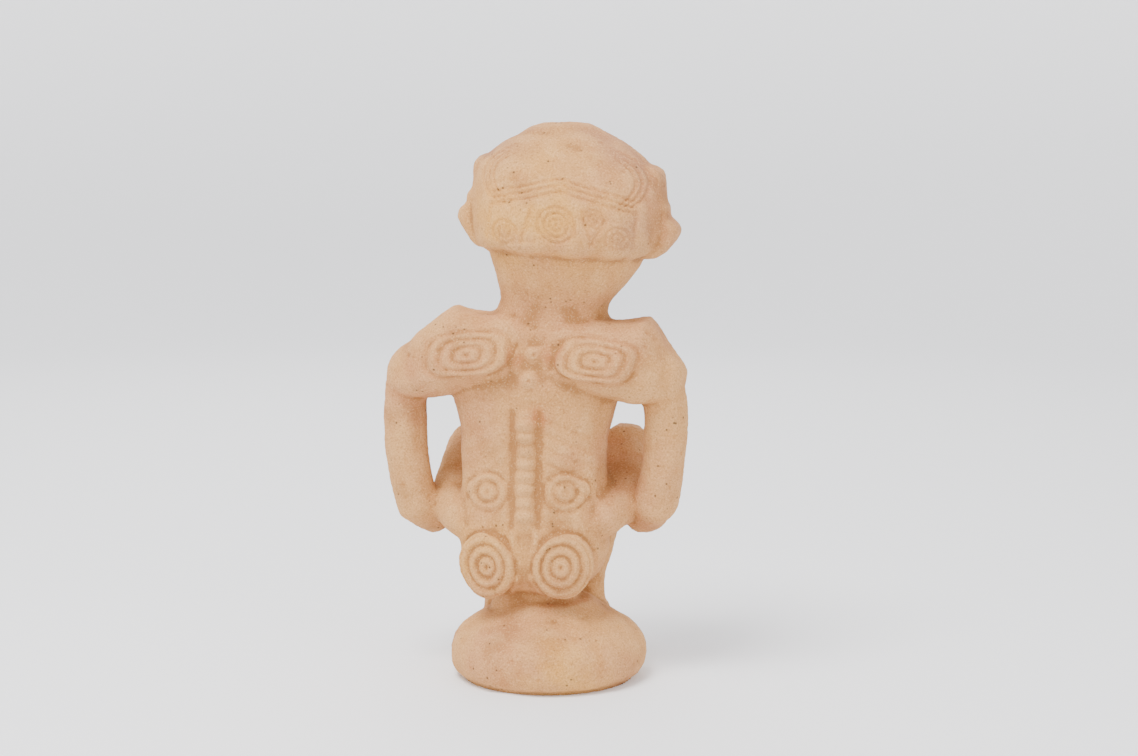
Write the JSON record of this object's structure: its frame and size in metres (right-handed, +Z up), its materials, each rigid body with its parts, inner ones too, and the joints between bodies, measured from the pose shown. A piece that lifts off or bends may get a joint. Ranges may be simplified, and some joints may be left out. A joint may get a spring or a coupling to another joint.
{
  "type": "squatting stone zemi figure",
  "caption": "Carved stone figure squatting with hands on raised knees, on a round domed foot, with carved discs and a ridged spine on its back.",
  "frame": {"origin": "centre of the flat round underside of the foot", "axes": "+Z up; the face looks along -Y and the carved back along +Y"},
  "size_m": [0.1808, 0.1339, 0.3247],
  "materials": {
    "sandstone": "dry matt sandy tan stone with ochre and pinkish patches, fine pits and grains"
  },
  "bodies": {
    "root": {"zemi_figure": "sandstone"}
  },
  "joints": []
}
